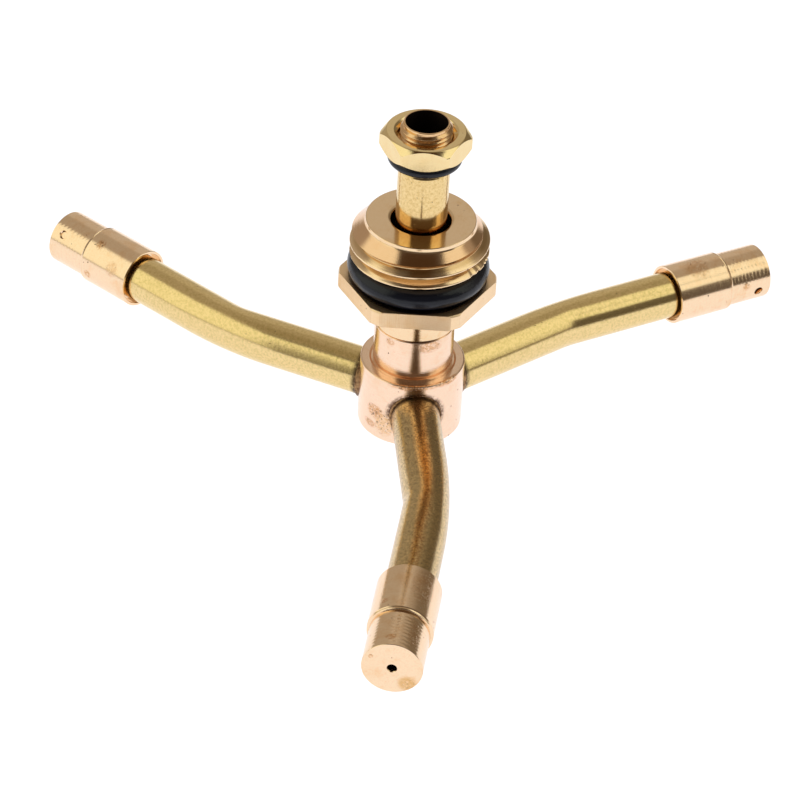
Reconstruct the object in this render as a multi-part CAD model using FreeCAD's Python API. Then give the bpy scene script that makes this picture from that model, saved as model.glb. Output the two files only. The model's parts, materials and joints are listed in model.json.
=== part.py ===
import FreeCAD, Part
import math
import os

# Three-arm rotary lawn sprinkler head in brass.
# Water comes in through the hollow spindle, fills the hub and leaves through three bent arms.
# The hexagon bushing screws into the supply pipe. The spindle turns in its bore and floats up and
# down in it, between the hub's neck and the rubber ring under the spindle nut.
# Millimetres. Origin: centre of the hub's flat end, on the axis of rotation. +Z: from the hub to
# the inlet thread. Angles of the arms are counted from +X towards +Y.

# Clearances and play
spindle_play = 0.05
cap_play = 0.05
thread_play = 0.04
ring_play = 0.05
seal_play = 0.02
seam_gap = 0.05
seat_gap = 0.03

# Inlet thread G 1/2, 14 threads per inch
inlet_thread_radius = 10.4775
inlet_thread_pitch = 1.814
inlet_thread_depth = 1.162
inlet_thread_turns = 3
inlet_crest_width = 0.24
inlet_root_radius = inlet_thread_radius - inlet_thread_depth

# Spindle: a tube fixed in the neck, threaded at its free end
spindle_radius = 3.85
spindle_wall = 0.75
spindle_bore_radius = spindle_radius - spindle_wall
spindle_length = 41.9
spindle_seat_above_hub = 0.2
spindle_edge = 0.25
spindle_thread_pitch = 0.75
spindle_thread_depth = 0.4
spindle_thread_turns = 9
spindle_crest_width = 0.12
spindle_thread_runout = 0.6
spindle_thread_fade = 0.2

# Arm tubes: a straight leg out of the hub, a bend, and a second straight leg that carries the cap
tube_radius = 3.7
tube_wall = 0.7
tube_bore_radius = tube_radius - tube_wall
bend_radius = 12.0
outer_leg = 36.6
tube_thread_pitch = 0.75
tube_thread_depth = 0.3
tube_thread_turns = 7
tube_crest_width = 0.15

# Hub: round body with a narrower neck that the spindle is fixed in
neck_wall = 2.25
neck_radius = spindle_radius + neck_wall
neck_height = 6.85
neck_edge = 0.15
neck_groove_width = 0.5
neck_groove_depth = 0.25
hub_step = 1.9
hub_radius = neck_radius + hub_step
hub_height = 11.3
hub_edge = 0.4
spindle_seat_width = 0.45
hub_chamber_radius = spindle_radius - spindle_seat_width

# Holes for the arm tubes in the hub, with the solder round each tube
arm_drop = 0.1
arm_height = hub_height / 2 - arm_drop
floor_below_arm_bore = 0.35
hub_floor = arm_height - tube_bore_radius - floor_below_arm_bore
tube_stop = 0.9
tube_start = hub_chamber_radius + tube_stop
solder_thickness = 0.3
arm_hole_radius = tube_radius + solder_thickness
solder_recess = 0.2
solder_end = hub_radius - solder_recess
solder_edge = 0.12

# Spindle nut
nut_across_flats = 12.0
nut_height = 3.5
nut_below_spindle_end = 1.45
nut_face_edge = 0.25
nut_face_radius = nut_across_flats / 2 - nut_face_edge
nut_chamfer_deg = 30.0
nut_countersink_width = 0.9
nut_countersink_radius = spindle_radius + nut_countersink_width
nut_countersink_depth = 0.9

# Rubber ring under the nut
thrust_ring_section = 1.65

# Rubber ring that seals the bushing on the pipe, a little proud of the thread
flange_seal_section = 3.55
flange_seal_proud = 0.1925

# Bushing: boss, hexagon flange, relief for the rubber ring, inlet thread and collar
boss_radius = neck_radius
boss_length = 5.7
boss_edge = 0.15
flat_outside_thread = 0.1725
hex_across_flats = 2 * (inlet_thread_radius + flat_outside_thread)
hex_corner_reach = 1.22
hex_corner_radius = hex_across_flats / 2 + hex_corner_reach
hex_thickness = 2.65
hex_edge = 0.2
seal_room = 0.1
seal_relief_length = flange_seal_section + seal_room
seal_relief_radius = inlet_thread_radius + flange_seal_proud - flange_seal_section - seal_play
collar_inset = 2.2275
collar_radius = inlet_thread_radius - collar_inset
collar_length = 0.6345
collar_edge = 0.15
thread_lead_in = 1.15
relief_bore_gap = 0.6
relief_bore_radius = spindle_radius + relief_bore_gap
relief_bore_edge = 0.3
bearing_length = 6.2

# One entry per arm: direction of the hole in the hub, turn of the bend, distance of the bend from
# the axis, and the way the cap's side jet points, counted upwards from the arm's left-hand side
arms = {
    "a": {"azimuth": -83.0, "bend": -13.3, "bend_at": 29.1, "jet": -75.0},
    "b": {"azimuth": 157.0, "bend": -16.0, "bend_at": 30.8, "jet": 42.0},
    "c": {"azimuth": 39.0, "bend": -9.3, "bend_at": 29.9, "jet": 190.0},
}

# Nozzle cap: a sleeve over the tube's end and a narrower tip with two jets
cap_length = 17.0
cap_tip_length = 7.3
cap_wall = 1.0
cap_bore_radius = tube_radius + cap_play
cap_body_radius = cap_bore_radius + cap_wall
cap_step = 0.4
cap_tip_radius = cap_body_radius - cap_step
cap_shoulder_edge = 0.2
cap_end_edge = 0.1
cap_wall_end = 1.2
cap_chamber_radius = tube_bore_radius
cap_mouth_wall = 0.45
cap_mouth_radius = cap_body_radius - cap_mouth_wall
cap_mouth_depth = 1.1
jet_radius = 0.65
jet_mouth_edge = 0.15
side_jet_from_tip = 2.2
side_mouth_depth = 0.3
cap_seal_thickness = 1.0

# How far a cutting shape runs past the face that it opens
overrun = 1.0

# Heights that follow from the sizes above
neck_top = hub_height + neck_height
spindle_start = hub_height + spindle_seat_above_hub
spindle_end = spindle_start + spindle_length
nut_top = spindle_end - nut_below_spindle_end
nut_bottom = nut_top - nut_height
boss_bottom = neck_top + seam_gap
hex_bottom = boss_bottom + boss_length
hex_top = hex_bottom + hex_thickness
thread_bottom = hex_top + seal_relief_length
thread_top = thread_bottom + inlet_thread_pitch * (inlet_thread_turns - 1) + thread_lead_in
collar_foot = thread_top + inlet_root_radius - collar_radius
collar_top = collar_foot + collar_length
thrust_ring_radius = spindle_radius + ring_play + thrust_ring_section / 2
thrust_ring_height = nut_bottom - seat_gap - thrust_ring_section / 2
float_travel = thrust_ring_height - thrust_ring_section / 2 - seat_gap - collar_top

up = FreeCAD.Vector(0, 0, 1)
centre = FreeCAD.Vector(0, 0, 0)


def turned(points):
    """Solid turned about Z from a closed outline of (radius, height) points."""
    corners = [FreeCAD.Vector(r, 0, z) for r, z in points]
    outline = Part.makePolygon(corners + corners[:1])
    return Part.Face(outline).revolve(centre, up, 360)


def rod(radius, low, high):
    """Round bar about Z between two heights."""
    return Part.makeCylinder(radius, high - low, FreeCAD.Vector(0, 0, low), up)


def hexagon(across_flats, low, high):
    """Hexagonal bar about Z with two flats square to Y."""
    corner = across_flats / math.sqrt(3)
    turns = [math.radians(60 * i) for i in range(6)]
    corners = [FreeCAD.Vector(corner * math.cos(t), corner * math.sin(t), low) for t in turns]
    outline = Part.makePolygon(corners + corners[:1])
    return Part.Face(outline).extrude(FreeCAD.Vector(0, 0, high - low))


def torus(ring_radius, section, height):
    """Ring of round section about Z."""
    return Part.makeTorus(ring_radius, section / 2, FreeCAD.Vector(0, 0, height), up)


def ridges(radius, depth, pitch, crest_width, first_crest, turns):
    """Outline points of a thread's ridges, from the lowest groove to the highest."""
    points = []
    for i in range(turns):
        crest = first_crest + i * pitch
        points.append((radius - depth, crest - pitch / 2))
        points.append((radius, crest - crest_width / 2))
        points.append((radius, crest + crest_width / 2))
    points.append((radius - depth, first_crest + (turns - 0.5) * pitch))
    return points


def hub_solid():
    groove_radius = neck_radius + neck_groove_width
    groove_floor = hub_height - neck_groove_depth
    body = turned([
        (0, 0),
        (hub_radius - hub_edge, 0),
        (hub_radius, hub_edge),
        (hub_radius, hub_height - hub_edge),
        (hub_radius - hub_edge, hub_height),
        (groove_radius, hub_height),
        (groove_radius - neck_groove_depth, groove_floor),
        (neck_radius, groove_floor),
        (neck_radius, neck_top - neck_edge),
        (neck_radius - neck_edge, neck_top),
        (0, neck_top),
    ])
    body = body.cut(rod(spindle_radius, spindle_start, neck_top))
    body = body.cut(rod(hub_chamber_radius, hub_floor, spindle_start))
    for arm in arms.values():
        start = FreeCAD.Vector(0, 0, arm_height)
        outwards = direction(arm["azimuth"])
        passage = Part.makeCylinder(tube_bore_radius, hub_radius, start, outwards)
        socket = Part.makeCylinder(
            arm_hole_radius, hub_radius, start + outwards * tube_start, outwards
        )
        body = body.cut(passage).cut(socket)
    return body


def spindle_solid():
    first_crest = (
        spindle_end - spindle_edge - spindle_thread_depth
        - (spindle_thread_turns - 0.5) * spindle_thread_pitch
    )
    thread = ridges(
        spindle_radius, spindle_thread_depth, spindle_thread_pitch, spindle_crest_width,
        first_crest, spindle_thread_turns,
    )
    thread_start = first_crest - spindle_thread_pitch / 2
    return turned(
        [
            (spindle_bore_radius, spindle_start),
            (spindle_radius, spindle_start),
            (spindle_radius, thread_start - spindle_thread_runout),
            (spindle_radius - spindle_thread_depth, thread_start - spindle_thread_fade),
        ]
        + thread
        + [
            (spindle_radius - spindle_edge, spindle_end - spindle_edge),
            (spindle_radius - 2 * spindle_edge, spindle_end),
            (spindle_bore_radius, spindle_end),
        ]
    )


def spindle_nut_solid():
    corner = nut_across_flats / math.sqrt(3)
    fall = (corner - nut_face_radius) * math.tan(math.radians(nut_chamfer_deg))
    blank = turned([
        (0, nut_bottom),
        (nut_face_radius, nut_bottom),
        (corner, nut_bottom + fall),
        (corner, nut_top - fall),
        (nut_face_radius, nut_top),
        (0, nut_top),
    ])
    bore = spindle_radius + thread_play
    hole = turned([
        (0, nut_bottom - overrun),
        (bore, nut_bottom - overrun),
        (bore, nut_top - nut_countersink_depth),
        (nut_countersink_radius, nut_top),
        (nut_countersink_radius, nut_top + overrun),
        (0, nut_top + overrun),
    ])
    return hexagon(nut_across_flats, nut_bottom, nut_top).common(blank).cut(hole)


def thrust_ring_solid():
    return torus(thrust_ring_radius, thrust_ring_section, thrust_ring_height)


def bushing_solid():
    first_crest = thread_bottom + inlet_thread_pitch / 2
    thread = ridges(
        inlet_thread_radius, inlet_thread_depth, inlet_thread_pitch, inlet_crest_width,
        first_crest, inlet_thread_turns,
    )
    body = turned(
        [
            (0, boss_bottom),
            (boss_radius - boss_edge, boss_bottom),
            (boss_radius, boss_bottom + boss_edge),
            (boss_radius, hex_top),
            (seal_relief_radius, hex_top),
            (seal_relief_radius, thread_bottom),
        ]
        + thread
        + [(inlet_root_radius, collar_top), (0, collar_top)]
    )
    outside = inlet_thread_radius + overrun
    lead_in_and_collar = turned([
        (collar_radius, collar_foot),
        (outside, collar_foot + collar_radius - outside),
        (outside, collar_top + overrun),
        (collar_radius - collar_edge, collar_top + overrun),
        (collar_radius - collar_edge, collar_top),
        (collar_radius, collar_top - collar_edge),
    ])
    flange_blank = turned([
        (0, hex_bottom),
        (hex_corner_radius - hex_edge, hex_bottom),
        (hex_corner_radius, hex_bottom + hex_edge),
        (hex_corner_radius, hex_top - hex_edge),
        (hex_corner_radius - hex_edge, hex_top),
        (0, hex_top),
    ])
    flange = hexagon(hex_across_flats, hex_bottom, hex_top).common(flange_blank)
    bore = spindle_radius + spindle_play
    hole = turned([
        (0, boss_bottom - overrun),
        (bore, boss_bottom - overrun),
        (bore, boss_bottom + bearing_length),
        (relief_bore_radius, boss_bottom + bearing_length + relief_bore_radius - bore),
        (relief_bore_radius, collar_top - relief_bore_edge),
        (relief_bore_radius + relief_bore_edge, collar_top),
        (relief_bore_radius + relief_bore_edge, collar_top + overrun),
        (0, collar_top + overrun),
    ])
    return body.cut(lead_in_and_collar).fuse(flange).cut(hole).removeSplitter()


def flange_seal_solid():
    ring_radius = seal_relief_radius + seal_play + flange_seal_section / 2
    return torus(ring_radius, flange_seal_section, hex_top + seal_play + flange_seal_section / 2)


def direction(azimuth):
    """Level unit vector at an angle from +X."""
    turn = math.radians(azimuth)
    return FreeCAD.Vector(math.cos(turn), math.sin(turn), 0)


def cap_tip(arm):
    """Centre of the cap's end face and the outward direction of the arm's second leg."""
    outwards = direction(arm["azimuth"] + arm["bend"])
    bend = direction(arm["azimuth"]) * arm["bend_at"] + FreeCAD.Vector(0, 0, arm_height)
    return bend + outwards * outer_leg, outwards


def on_outer_leg(shape, arm):
    """Carries a shape made about Z onto the second leg: Z outwards, Y up, Z = 0 at the cap's mouth."""
    tip, outwards = cap_tip(arm)
    mouth = tip - outwards * cap_length
    side = up.cross(outwards)
    placed = shape.copy()
    placed.Placement = FreeCAD.Placement(FreeCAD.Matrix(
        side.x, up.x, outwards.x, mouth.x,
        side.y, up.y, outwards.y, mouth.y,
        side.z, up.z, outwards.z, mouth.z,
        0, 0, 0, 1,
    ))
    return placed


def seal_seat():
    """Height of the cap's inner shoulder above its mouth: the rubber ring lies against it."""
    return cap_length - cap_tip_length


def tube_end():
    """Height of the tube's end above the cap's mouth."""
    return seal_seat() - cap_seal_thickness - 2 * seat_gap


def arm_tube_solid(arm):
    first = direction(arm["azimuth"])
    second = direction(arm["azimuth"] + arm["bend"])
    level = FreeCAD.Vector(0, 0, arm_height)
    corner = first * arm["bend_at"] + level
    half_turn = math.radians(abs(arm["bend"])) / 2
    reach = bend_radius * math.tan(half_turn)
    into_corner = bend_radius * (1 / math.cos(half_turn) - 1)
    inwards = (second - first).normalize()
    start = first * tube_start + level
    bend_start = corner - first * reach
    bend_middle = corner + inwards * into_corner
    bend_end = corner + second * reach
    end = corner + second * (outer_leg - cap_length + tube_end())
    path = Part.Wire([
        Part.LineSegment(start, bend_start).toShape(),
        Part.Arc(bend_start, bend_middle, bend_end).toShape(),
        Part.LineSegment(bend_end, end).toShape(),
    ])
    pipes = []
    for radius in (tube_radius, tube_bore_radius):
        section = Part.Wire(Part.makeCircle(radius, start, first))
        pipes.append(path.makePipeShell([section], True, False))
    return pipes[0].cut(pipes[1]).cut(on_outer_leg(tube_thread_grooves(), arm))


def tube_thread_grooves():
    """Everything that the thread on the tube's end leaves out, about Z from the cap's mouth."""
    first_crest = tube_end() - (tube_thread_turns - 0.5) * tube_thread_pitch
    thread = ridges(
        tube_radius, tube_thread_depth, tube_thread_pitch, tube_crest_width,
        first_crest, tube_thread_turns,
    )
    outside = tube_radius + overrun
    return turned(
        [(outside, first_crest - tube_thread_pitch / 2)]
        + thread
        + [(outside, first_crest + (tube_thread_turns - 0.5) * tube_thread_pitch)]
    )


def solder_ring_solid(arm):
    ring = turned([
        (tube_radius, tube_start),
        (arm_hole_radius, tube_start),
        (arm_hole_radius, solder_end - solder_edge),
        (arm_hole_radius - solder_edge, solder_end),
        (tube_radius, solder_end),
    ])
    ring.rotate(centre, FreeCAD.Vector(0, 1, 0), 90)
    ring.rotate(centre, up, arm["azimuth"])
    ring.translate(FreeCAD.Vector(0, 0, arm_height))
    return ring


def nozzle_cap_solid(arm):
    body = turned([
        (0, 0),
        (cap_body_radius - cap_end_edge, 0),
        (cap_body_radius, cap_end_edge),
        (cap_body_radius, seal_seat() - cap_shoulder_edge),
        (cap_body_radius - cap_shoulder_edge, seal_seat()),
        (cap_tip_radius, seal_seat()),
        (cap_tip_radius, cap_length - cap_end_edge),
        (cap_tip_radius - cap_end_edge, cap_length),
        (0, cap_length),
    ])
    hollow = turned([
        (0, -overrun),
        (cap_mouth_radius, -overrun),
        (cap_mouth_radius, cap_mouth_depth),
        (cap_bore_radius, cap_mouth_depth),
        (cap_bore_radius, seal_seat()),
        (cap_chamber_radius, seal_seat()),
        (cap_chamber_radius, cap_length - cap_wall_end),
        (0, cap_length - cap_wall_end),
    ])
    end_jet = turned([
        (0, cap_length - cap_wall_end - overrun),
        (jet_radius, cap_length - cap_wall_end - overrun),
        (jet_radius, cap_length - jet_mouth_edge),
        (jet_radius + jet_mouth_edge, cap_length),
        (jet_radius + jet_mouth_edge, cap_length + overrun),
        (0, cap_length + overrun),
    ])
    aim = direction(arm["jet"])
    jet_start = FreeCAD.Vector(0, 0, cap_length - side_jet_from_tip)
    side_jet = Part.makeCylinder(jet_radius, cap_tip_radius + overrun, jet_start, aim)
    mouth_start = jet_start + aim * (cap_tip_radius - side_mouth_depth)
    mouth_length = side_mouth_depth + overrun
    side_mouth = Part.makeCone(
        jet_radius, jet_radius + mouth_length, mouth_length, mouth_start, aim
    )
    return on_outer_leg(body.cut(hollow).cut(end_jet).cut(side_jet).cut(side_mouth), arm)


def cap_seal_solid(arm):
    low = tube_end() + seat_gap
    ring = rod(tube_radius - seal_play, low, low + cap_seal_thickness)
    hole = rod(cap_chamber_radius, low - overrun, low + cap_seal_thickness + overrun)
    return on_outer_leg(ring.cut(hole), arm)


def build():
    solids = {
        "hub": hub_solid(),
        "spindle": spindle_solid(),
        "spindle_nut": spindle_nut_solid(),
        "thrust_ring": thrust_ring_solid(),
        "bushing": bushing_solid(),
        "flange_seal": flange_seal_solid(),
    }
    for letter, arm in arms.items():
        solids["arm_tube_" + letter] = arm_tube_solid(arm)
        solids["solder_ring_" + letter] = solder_ring_solid(arm)
        solids["nozzle_cap_" + letter] = nozzle_cap_solid(arm)
        solids["cap_seal_" + letter] = cap_seal_solid(arm)
    os.makedirs("parts", exist_ok=True)
    for name, solid in solids.items():
        solid.exportStep("parts/" + name + ".step")
    return solids


solids = build()
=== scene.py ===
import bpy
import json
import math
import random
from mathutils import Matrix, Vector


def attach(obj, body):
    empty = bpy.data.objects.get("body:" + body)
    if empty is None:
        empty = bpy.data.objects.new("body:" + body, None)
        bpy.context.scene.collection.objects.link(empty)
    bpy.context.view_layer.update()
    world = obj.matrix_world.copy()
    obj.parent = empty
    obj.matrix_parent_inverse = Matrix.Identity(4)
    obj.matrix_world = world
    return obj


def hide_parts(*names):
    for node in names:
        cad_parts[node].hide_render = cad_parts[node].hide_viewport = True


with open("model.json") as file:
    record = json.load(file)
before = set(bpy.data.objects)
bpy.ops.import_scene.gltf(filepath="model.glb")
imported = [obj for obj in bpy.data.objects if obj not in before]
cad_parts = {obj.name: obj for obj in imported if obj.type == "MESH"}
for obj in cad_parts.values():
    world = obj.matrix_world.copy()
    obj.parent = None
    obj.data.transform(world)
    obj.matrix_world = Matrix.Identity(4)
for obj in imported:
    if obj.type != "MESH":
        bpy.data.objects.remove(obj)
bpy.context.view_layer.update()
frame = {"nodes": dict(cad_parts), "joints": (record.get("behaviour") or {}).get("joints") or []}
nodes = frame["nodes"]
joints = {joint["name"]: joint for joint in frame["joints"]}
mm = 0.001
print("frame loaded:", len(nodes), "nodes")


class Wire:
    # one value in a shader: arithmetic on it adds Math nodes beside it
    def __init__(self, tree, socket=None):
        self.tree = tree
        self.socket = socket

    def node(self, kind, settings=None, inputs=None, out=0):
        made = self.tree.nodes.new(kind)
        for key, value in (settings or {}).items():
            setattr(made, key, value)
        for key, value in (inputs or {}).items():
            if isinstance(value, Wire):
                self.tree.links.new(value.socket, made.inputs[key])
            else:
                made.inputs[key].default_value = value
        return Wire(self.tree, made.outputs[out]) if made.outputs else None

    def math(self, operation, *values):
        return self.node("ShaderNodeMath", {"operation": operation}, dict(enumerate(values)))

    def __add__(self, other):
        return self.math("ADD", self, other)

    def __radd__(self, other):
        return self.math("ADD", other, self)

    def __sub__(self, other):
        return self.math("SUBTRACT", self, other)

    def __rsub__(self, other):
        return self.math("SUBTRACT", other, self)

    def __mul__(self, other):
        return self.math("MULTIPLY", self, other)

    def __rmul__(self, other):
        return self.math("MULTIPLY", other, self)

    def __pow__(self, other):
        return self.math("POWER", self, other)

    def step(self, low, high):
        # 0 below low, 1 above high, smooth between; falls instead where low is the larger
        settings = {"interpolation_type": "SMOOTHSTEP"}
        if low < high:
            return self.node("ShaderNodeMapRange", settings, {0: self, 1: low, 2: high})
        return 1 - self.node("ShaderNodeMapRange", settings, {0: self, 1: high, 2: low})

    def band(self, low, high, soft):
        return self.step(low - soft, low + soft) * self.step(high + soft, high - soft)

    def tint(self, first, second):
        # first where this value is 0, second where it is 1
        settings = {"data_type": "RGBA"}
        return self.node("ShaderNodeMix", settings, {0: self, 6: first, 7: second}, out=2)

    def stretch(self, x, y, z):
        settings = {"operation": "MULTIPLY"}
        return self.node("ShaderNodeVectorMath", settings, {0: self, 1: (x, y, z)})

    def noise(self, scale, detail=3.0, rough=0.5):
        inputs = {"Vector": self, "Scale": scale, "Detail": detail, "Roughness": rough}
        return self.node("ShaderNodeTexNoise", {}, inputs)

    def split(self):
        made = self.tree.nodes.new("ShaderNodeSeparateXYZ")
        self.tree.links.new(self.socket, made.inputs[0])
        return [Wire(self.tree, made.outputs[i]) for i in range(3)]


def rgb(red, green, blue):
    return (red, green, blue, 1)


def newMaterial(name):
    material = bpy.data.materials.new(name)
    material.use_nodes = True
    material.node_tree.nodes.clear()
    return material, Wire(material.node_tree)


def shine(wire, fixed, colour, roughness, height, distance):
    # the surface shader: fixed numbers stay on its own sockets
    inputs = {"Strength": 1.0, "Distance": distance, "Height": height}
    normal = wire.node("ShaderNodeBump", {}, inputs)
    inputs = {**fixed, "Base Color": colour, "Roughness": roughness, "Normal": normal}
    surface = wire.node("ShaderNodeBsdfPrincipled", {}, inputs)
    wire.node("ShaderNodeOutputMaterial", {}, {"Surface": surface})


def ownPlace(wire, centre=(0, 0, 0), turn=(0, 0, 0)):
    # the piece's own coordinates in millimetres, turned so that Z is its axis
    place = wire.node("ShaderNodeTexCoord", out=3)
    inputs = {"Vector": place, "Location": centre, "Rotation": turn, "Scale": (mm, mm, mm)}
    return wire.node("ShaderNodeMapping", {"vector_type": "TEXTURE"}, inputs)


speckEdge = {"core": 0.5, "pick": 0.02}
spotCore = 0.45


def specks(place, scale, size, share):
    # small round spots in a share of the cells of a random pattern
    settings = {"feature": "F1"}
    cell = place.node("ShaderNodeTexVoronoi", settings, {"Vector": place, "Scale": scale})
    colour = place.node("ShaderNodeTexVoronoi", settings, {"Vector": place, "Scale": scale}, out=1)
    picked = colour.split()[0]
    dot = cell.step(size, size * speckEdge["core"])
    return dot * picked.step(1 - share, 1 - share + speckEdge["pick"])


def around(place):
    # distance from the piece's axis
    x, y, _ = place.split()
    return (x * x + y * y) ** 0.5


def besideHole(place, azimuth, height, inner, outer):
    # 1 at the edge of a round hole that runs outwards along azimuth, 0 at its outer radius
    x, y, z = place.split()
    turn = math.radians(azimuth)
    aside = y * math.cos(turn) - x * math.sin(turn)
    out = x * math.cos(turn) + y * math.sin(turn)
    up = z - height
    return ((aside * aside + up * up) ** 0.5).step(outer, inner) * out.step(0.0, 1.0)


def spot(place, mark):
    # 1 at a place on the surface, fading to 0 at its reach in each direction
    turn = math.radians(mark["azimuth"])
    centre = (mark["radius"] * math.cos(turn), mark["radius"] * math.sin(turn), mark["height"])
    offset = place.node("ShaderNodeVectorMath", {"operation": "SUBTRACT"}, {0: place, 1: centre})
    wide, tall = 1 / mark["wide"], 1 / mark["tall"]
    offset = offset.stretch(wide, wide, tall)
    length = place.node("ShaderNodeVectorMath", {"operation": "LENGTH"}, {0: offset}, out=1)
    return length.step(1.0, spotCore)


# azimuths in degrees about the piece's axis, lengths in millimetres
hubFinish = {
    "pale": rgb(0.94, 0.71, 0.54), "warm": rgb(0.86, 0.56, 0.34), "dark": rgb(0.10, 0.04, 0.02),
    "smooth": 0.10, "rough": 0.25, "lines": 7.0, "lineDepth": 1.1,
    "scuff": rgb(0.60, 0.26, 0.07), "holes": [-83, 157, 39], "holeHeight": 5.55,
    "holeInner": 4.05, "holeOuter": 4.75,
    "marks": [
        {"azimuth": -131, "radius": 8.0, "height": 4.9, "wide": 2.0, "tall": 1.5, "amount": 1.0,
         "spread": (0.40, 0.52), "char": 1.4},
        {"azimuth": -118, "radius": 8.0, "height": 3.2, "wide": 2.3, "tall": 2.6, "amount": 0.8,
         "spread": (0.40, 0.56), "tone": rgb(0.74, 0.42, 0.16), "char": 1.0},
        {"azimuth": -138, "radius": 8.0, "height": 2.2, "wide": 1.6, "tall": 0.9, "amount": 0.8},
        {"azimuth": -86, "radius": 8.0, "height": 11.0, "wide": 4.6, "tall": 0.7, "amount": 1.0,
         "beyond": 7.7},
        {"azimuth": -46, "radius": 8.0, "height": 11.1, "wide": 2.8, "tall": 0.8, "amount": 1.0,
         "beyond": 7.7},
        {"azimuth": -66, "radius": 6.1, "height": 17.2, "wide": 2.6, "tall": 1.3, "amount": 0.8},
        {"azimuth": -125, "radius": 6.1, "height": 17.3, "wide": 1.0, "tall": 0.9, "amount": 0.7},
        # painted shade: a dark line round the front of the seam where the neck meets the bushing
        {"azimuth": -78, "radius": 6.1, "height": 18.2, "wide": 3.4, "tall": 0.45, "amount": 1.0,
         "spread": (0.0, 0.1), "tone": rgb(0.10, 0.04, 0.02), "char": 0},
    ],
}
bushingFinish = {
    **hubFinish, "pale": rgb(0.91, 0.69, 0.45), "warm": rgb(0.82, 0.54, 0.27), "smooth": 0.07,
    "rough": 0.17, "holes": [],
    "marks": [
        # painted shade: a dark line round the front of the seam where the bushing meets the neck
        {"azimuth": -78, "radius": 6.1, "height": 18.2, "wide": 3.4, "tall": 0.3, "amount": 1.0,
         "spread": (0.0, 0.1), "tone": rgb(0.10, 0.04, 0.02), "char": 0},
    ],
    # colours of the painted shade in the thread grooves and on the cone under the collar
    "groove": rgb(0.46, 0.26, 0.07), "cone": rgb(0.72, 0.42, 0.24),
}
# a stretch has noise cells per millimetre across, across and along the axis; a field has the
# noise values where a mark begins and where it is full
turning = {
    "lineAcross": 0.04, "broad": (0.03, 0.03, 1.6), "broadDepth": 0.35,
    "patchScale": 0.35, "patchField": (0.50, 0.72), "mottleScale": 3.2, "mottleField": (0.46, 0.74),
    "grainScale": 7.0, "grainDepth": 0.25, "pitScale": 1.1, "pitSize": 0.18, "pitShare": 0.16,
    "pitCloud": 0.45, "pitField": (0.46, 0.56), "pitTint": 0.9, "pitRough": 0.3, "pitDepth": 1.2,
    "lineTint": 0.55, "leastTint": 0.18, "bump": 0.000012,
}
# painted shade round the arm holes in the hub
holeShade = {"scale": 1.6, "field": (0.32, 0.55), "tint": 0.85, "depth": 1.5}
markLook = {
    "rim": 0.25, "blotchTall": 1.4, "blotchScale": 1.9, "spread": (0.40, 0.54),
    "burnScale": 2.6, "burnField": (0.58, 0.66), "char": 1.0, "scuffAndShadeTint": 0.8, "burnTint": 0.9,
    "blotchDepth": 2.5, "burnDepth": 2.0, "bareRough": 0.12,
}
bushingLook = {
    "root": (10.35, 9.7), "ridges": (30.2, 34.3, 0.1), "outside": (9.0, 9.2), "grooveTint": 0.5,
    "slope": (34.2, 36.0, 0.2), "slopeRadius": (8.2, 8.35), "coneTint": 0.6,
    "flatRadius": (10.3, 10.5), "flatHeight": (23.8, 26.6, 0.05),
    "saw": (6.5, 6.5, 0.12), "sawField": (0.45, 0.70), "leftwards": (2.0, -2.0),
    "tint": 0.12, "leftShadeTint": 0.5, "depth": 0.8, "leftDepth": 1.2, "rough": 0.22,
}


def shadeHoleEdges(place, finish, colour, height):
    # painted shade: a patchy dark ring round each drilled hole, where a tube goes in
    for azimuth in finish["holes"]:
        edge = besideHole(
            place, azimuth, finish["holeHeight"], finish["holeInner"], finish["holeOuter"]
        )
        charAndShade = edge * place.noise(holeShade["scale"], 4.0, 0.7).step(*holeShade["field"])
        colour = (charAndShade * holeShade["tint"]).tint(colour, finish["dark"])
        height = height + charAndShade * holeShade["depth"]
    return colour, height


# scuffs and burns on the surface, and the painted shade of the dark line at the neck's seam
def addMarks(place, finish, colour, roughness, height):
    look = markLook
    for mark in finish["marks"]:
        area = spot(place, mark) * mark["amount"]
        if "beyond" in mark:
            area = area * around(place).step(mark["beyond"] - look["rim"], mark["beyond"])
        blotch = place.stretch(1.0, 1.0, look["blotchTall"]).noise(look["blotchScale"], 5.0, 0.85)
        scuffAndShade = area * blotch.step(*mark.get("spread", look["spread"]))
        charAndShade = area * place.noise(look["burnScale"], 3.0, 0.7).step(*look["burnField"])
        charAndShade = charAndShade * mark.get("char", look["char"])
        colour = (scuffAndShade * look["scuffAndShadeTint"]).tint(colour, mark.get("tone", finish["scuff"]))
        colour = (charAndShade * look["burnTint"]).tint(colour, finish["dark"])
        height = height + area * blotch * look["blotchDepth"] - charAndShade * look["burnDepth"]
        roughness = roughness + scuffAndShade * look["bareRough"]
    return colour, roughness, height


def shadeBushing(place, finish, colour, roughness, height):
    # painted shade in the thread grooves and on the cone under the collar, and saw marks on the
    # hexagon's flats, painted darker on the left half as painted shade
    look = bushingLook
    x, _, z = place.split()
    out = around(place)
    # painted shade: the thread grooves are painted darker
    deep = out.step(*look["root"]) * z.band(*look["ridges"]) * out.step(*look["outside"])
    colour = (deep * look["grooveTint"]).tint(colour, finish["groove"])
    # painted shade: the cone under the collar is painted darker
    sloped = z.band(*look["slope"]) * out.step(*look["slopeRadius"])
    colour = (sloped * look["coneTint"]).tint(colour, finish["cone"])
    flats = out.step(*look["flatRadius"]) * z.band(*look["flatHeight"])
    saw = place.stretch(*look["saw"]).noise(1.0, 3.0, 0.6)
    # painted shade: the flats' left half is painted darker on top of the saw marks
    left = x.step(*look["leftwards"])
    worn = flats * saw.step(*look["sawField"]) * (look["tint"] + left * look["leftShadeTint"])
    colour = worn.tint(colour, finish["warm"])
    height = height + flats * saw * (look["depth"] + left * look["leftDepth"])
    return colour, roughness + flats * look["rough"], height


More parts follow.
